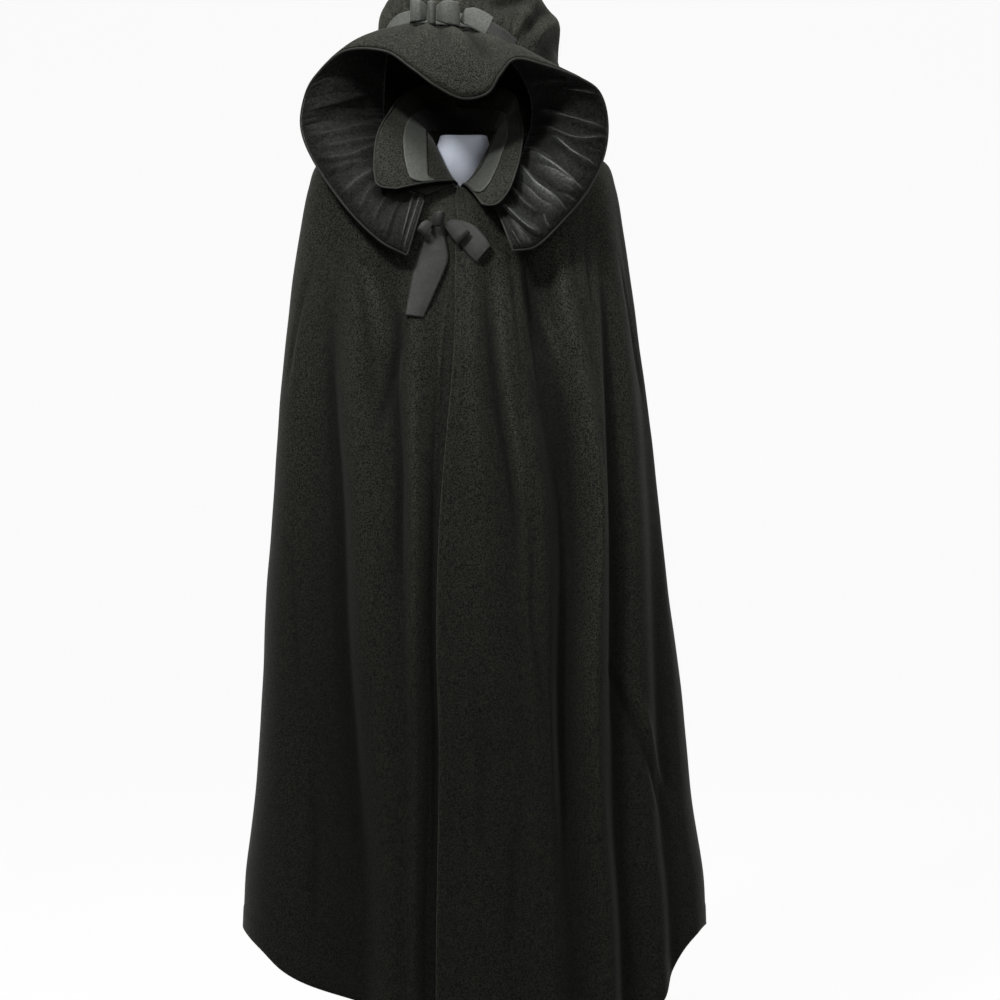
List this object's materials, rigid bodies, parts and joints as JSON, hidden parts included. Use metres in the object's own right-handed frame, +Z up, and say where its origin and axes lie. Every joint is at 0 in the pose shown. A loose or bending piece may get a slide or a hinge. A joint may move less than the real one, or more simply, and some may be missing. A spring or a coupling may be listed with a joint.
{
  "type": "hooded cloak on a dress form",
  "caption": "Full-length hooded wool cloak with a velvet-faced ruffle round the hood, a flared collar and ribbon bows, on a limbless dress form with a round base.",
  "frame": {"origin": "middle of the underside of the round base, on the floor", "axes": "+Z up; -Y towards the front of the cloak; +X towards the wearer's left"},
  "size_m": [0.6618, 0.3786, 1.6832],
  "materials": {
    "wool": "matte woollen cloth, near black",
    "velvet": "puckered pile with a bright sheen",
    "ribbon": "ribbed grosgrain ribbon, faded black",
    "piping": "satin cord",
    "form_cloth": "smooth pale cover",
    "stand_metal": "satin grey"
  },
  "bodies": {
    "root": {"cloak_back": "wool", "cloak_left_front": "wool", "cloak_right_front": "wool", "hood": "wool", "ruffle_outer": "wool", "collar": "wool", "ruffle_facing": "velvet", "ruffle_piping": "piping", "collar_piping": "piping", "collar_stripe": "ribbon", "hood_band": "ribbon", "throat_bow_long_tail": "ribbon", "throat_bow_short_tail": "ribbon", "throat_bow_left_loop": "ribbon", "throat_bow_right_loop": "ribbon", "throat_bow_knot": "ribbon", "hood_bow_left_loop": "ribbon", "hood_bow_right_loop": "ribbon", "hood_bow_tail": "ribbon", "hood_bow_knot": "ribbon", "dress_form": "form_cloth", "stand_pole": "stand_metal", "stand_base": "stand_metal"}
  },
  "joints": []
}
